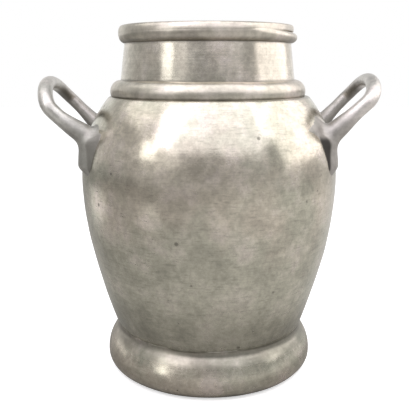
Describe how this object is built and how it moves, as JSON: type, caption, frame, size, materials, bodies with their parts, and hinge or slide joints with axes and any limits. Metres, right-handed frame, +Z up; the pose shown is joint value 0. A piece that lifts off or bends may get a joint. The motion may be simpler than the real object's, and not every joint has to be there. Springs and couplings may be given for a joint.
{
  "type": "milk can",
  "caption": "Squat two-handled milk can with a bulging belly, beaded neck, rolled rim and a hollow foot ring.",
  "frame": {"origin": "on the floor, under the middle of the can", "axes": "+Z up along the can's axis, the handles along +X and -X, the front at -Y"},
  "size_m": [0.2436, 0.1898, 0.2556],
  "materials": {
    "belly": "satin, tarnished, with fine spin lines and dark specks",
    "neck": "worn polish with fine spin lines",
    "foot": "worn polish, tarnished in the crease",
    "rings": "worn bright polish",
    "handles": "cast, hand polished, darker in the hollows",
    "bottom": "dull, unpolished"
  },
  "bodies": {
    "root": {"foot_ring": "foot", "bottom_plate": "bottom", "body_shell": "belly", "shoulder_bead": "rings", "neck_collar": "neck", "rim_bead": "rings", "mouth_lip": "rings", "right_handle_loop": "handles", "left_handle_loop": "handles", "right_front_leaf": "handles", "right_back_leaf": "handles", "left_front_leaf": "handles", "left_back_leaf": "handles"}
  },
  "joints": []
}
